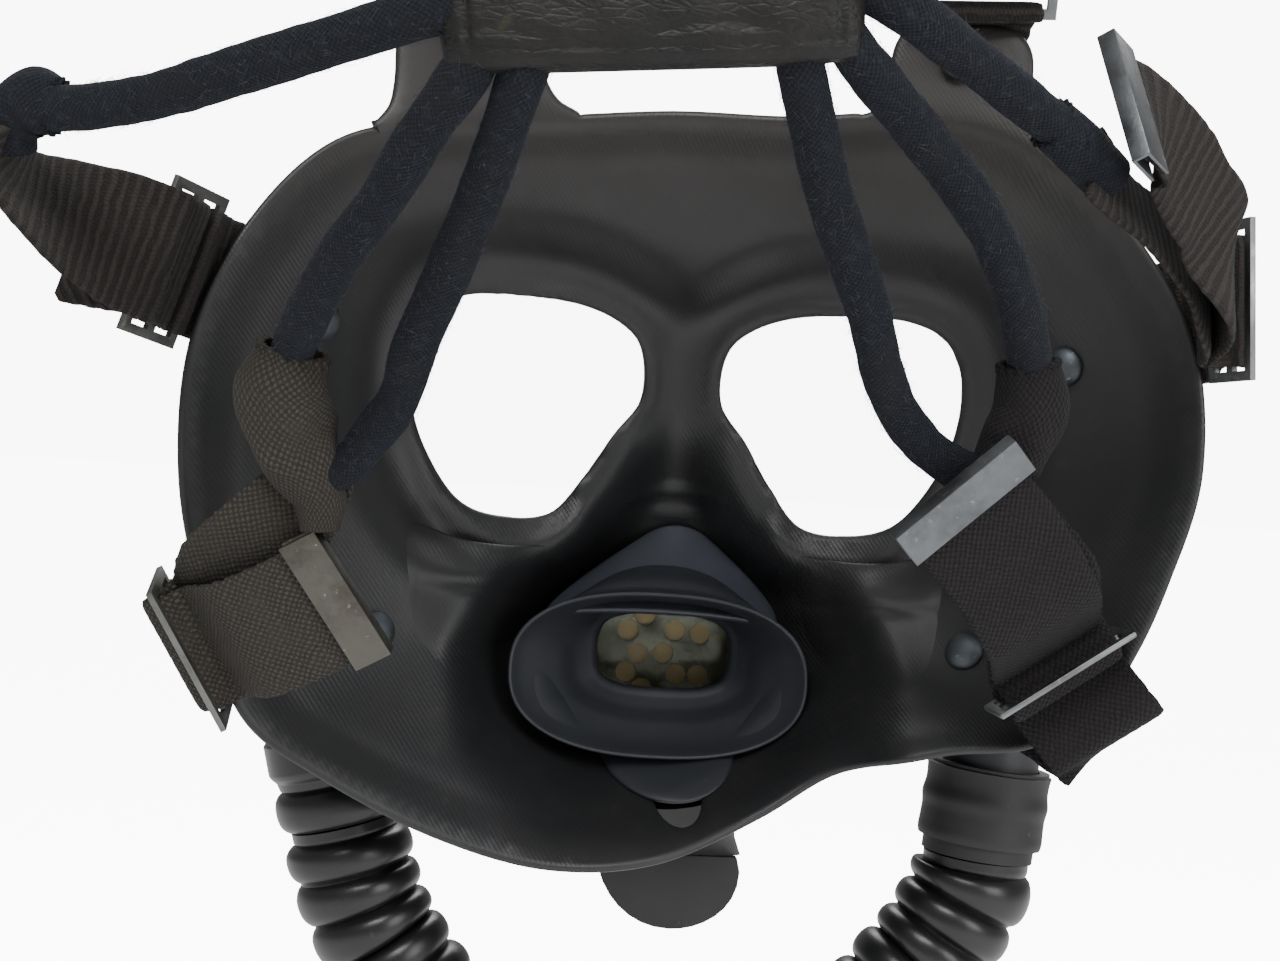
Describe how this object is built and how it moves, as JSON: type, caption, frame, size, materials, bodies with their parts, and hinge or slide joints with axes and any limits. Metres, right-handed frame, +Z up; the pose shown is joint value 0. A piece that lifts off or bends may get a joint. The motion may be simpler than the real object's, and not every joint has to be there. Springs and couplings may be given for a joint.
{
  "type": "full-face respirator",
  "caption": "Full-face rubber respirator with two eyepieces, a speech diaphragm, a chin outlet valve, corrugated breathing hoses into a Y piece, and a strap harness with a head pad.",
  "frame": {"origin": "middle of the head pad, from which the mask hangs; the face opening looks back along -Y", "axes": "+Z up, +Y out of the front of the face, -X the wearer's left"},
  "size_m": [0.2825, 0.2144, 0.5062],
  "materials": {
    "face_rubber": "matte moulded rubber, a little worn",
    "cup_rubber": "smooth moulded rubber with a soft shine",
    "hose_rubber": "smooth rubber, semi-gloss",
    "eye_glass": "clear flat glass",
    "painted_metal": "dark grey-green paint over metal, semi-matt",
    "film": "thin tan-olive sheet",
    "steel": "dull nickelled steel with light tarnish",
    "rivet_metal": "mottled grey domed rivet",
    "webbing": "coarse plain-weave webbing, olive brown",
    "webbing_dark": "coarse plain-weave webbing, charcoal",
    "cord_knit": "fuzzy knitted sleeve, blue-black",
    "pad_leather": "worn brown-black leather"
  },
  "bodies": {
    "root": {"facepiece_body": "face_rubber", "outlet_neck": "face_rubber", "coupling_gasket": "face_rubber", "lens_left": "eye_glass", "lens_right": "eye_glass", "eyepiece_rim_left": "painted_metal", "eyepiece_rim_right": "painted_metal", "diaphragm_housing": "painted_metal", "diaphragm_cover": "painted_metal", "y_piece": "painted_metal", "mouth_cup": "cup_rubber", "inlet_elbow_left": "cup_rubber", "inlet_elbow_right": "cup_rubber", "speech_diaphragm": "film", "guard_plate": "film", "hose_cuff_left": "hose_rubber", "hose_cuff_right": "hose_rubber", "breathing_hose_left": "hose_rubber", "breathing_hose_right": "hose_rubber", "hose_clamp_left": "steel", "hose_clamp_right": "steel", "head_pad": "pad_leather", "cord_cheek_left": "cord_knit", "strap_cheek_left": "webbing", "tab_cheek_left": "webbing", "rivet_cheek_left": "rivet_metal", "cord_cheek_right": "cord_knit", "strap_cheek_right": "webbing_dark", "tab_cheek_right": "webbing_dark", "rivet_cheek_right": "rivet_metal", "cord_temple_left": "cord_knit", "strap_temple_left": "webbing", "tab_temple_left": "webbing", "rivet_temple_left": "rivet_metal", "cord_temple_right": "cord_knit", "strap_temple_right": "webbing", "tab_temple_right": "webbing", "rivet_temple_right": "rivet_metal", "cord_forehead_left": "cord_knit", "strap_forehead_left": "webbing", "tab_forehead_left": "webbing", "rivet_forehead_left": "rivet_metal", "cord_forehead_right": "cord_knit", "strap_forehead_right": "webbing", "tab_forehead_right": "webbing", "rivet_forehead_right": "rivet_metal", "strap_tip_cheek_left": "steel", "strap_tip_cheek_right": "steel", "strap_tip_temple_right": "steel"},
    "outlet_flap_front": {"outlet_flap_front": "face_rubber"},
    "outlet_flap_rear": {"outlet_flap_rear": "face_rubber"},
    "inlet_valve_left": {"inlet_valve_left": "film"},
    "inlet_valve_right": {"inlet_valve_right": "film"},
    "coupling_nut": {"coupling_nut": "steel"},
    "buckle_cheek_left": {"buckle_cheek_left": "steel"},
    "buckle_cheek_right": {"buckle_cheek_right": "steel"},
    "buckle_temple_left": {"buckle_temple_left": "steel"},
    "buckle_temple_right": {"buckle_temple_right": "steel"},
    "buckle_forehead_left": {"buckle_forehead_left": "steel"},
    "buckle_forehead_right": {"buckle_forehead_right": "steel"}
  },
  "joints": [
    {"name": "outlet_flap_front_open", "type": "hinge", "parent": "root", "child": "outlet_flap_front", "pos_m": [0.026, 0.1688, -0.2035], "axis": [1, 0, 0], "range_deg": [0, 12], "stiffness_Nm_per_rad": 0.0002},
    {"name": "outlet_flap_rear_open", "type": "hinge", "parent": "root", "child": "outlet_flap_rear", "pos_m": [0.026, 0.1672, -0.2035], "axis": [1, 0, 0], "range_deg": [-12, 0], "stiffness_Nm_per_rad": 0.0002},
    {"name": "inlet_valve_left_lift", "type": "slide", "parent": "root", "child": "inlet_valve_left", "axis": [-0.2652, 0, 0.9642], "range_m": [0, 0.0025]},
    {"name": "inlet_valve_right_lift", "type": "slide", "parent": "root", "child": "inlet_valve_right", "axis": [0.0975, 0, 0.9952], "range_m": [0, 0.0025]},
    {"name": "coupling_nut_turn", "type": "hinge", "parent": "root", "child": "coupling_nut", "pos_m": [0.023, 0.153, -0.439], "axis": [0, 0, 1], "continuous": true},
    {"name": "buckle_cheek_left_swing", "type": "hinge", "parent": "root", "child": "buckle_cheek_left", "pos_m": [-0.09183, 0.10529, -0.14716], "axis": [0.461, 0.2806, -0.8419], "range_deg": [-4, 4]},
    {"name": "buckle_cheek_right_swing", "type": "hinge", "parent": "root", "child": "buckle_cheek_right", "pos_m": [0.111, 0.106, -0.1439], "axis": [0.8211, 0, 0.5708], "range_deg": [-4, 4]},
    {"name": "buckle_temple_left_swing", "type": "hinge", "parent": "root", "child": "buckle_temple_left", "pos_m": [-0.09558, 0.09868, -0.06289], "axis": [-0.3003, 0, -0.9539], "range_deg": [-4, 0]},
    {"name": "buckle_temple_right_swing", "type": "hinge", "parent": "root", "child": "buckle_temple_right", "pos_m": [0.14131, 0.09368, -0.05559], "axis": [-0.0599, 0, 0.9982], "range_deg": [-4, 4]},
    {"name": "buckle_forehead_left_swing", "type": "hinge", "parent": "root", "child": "buckle_forehead_left", "pos_m": [-0.03986, 0.11217, 0.01272], "axis": [-0.9982, 0, 0.0599], "range_deg": [-4, 4]},
    {"name": "buckle_forehead_right_swing", "type": "hinge", "parent": "root", "child": "buckle_forehead_right", "pos_m": [0.08586, 0.11217, 0.01272], "axis": [-0.9982, 0, -0.0599], "range_deg": [-4, 4]}
  ],
  "couplings": [
    {"joint": "outlet_flap_rear_open", "follows": "outlet_flap_front_open", "ratio": -1}
  ]
}
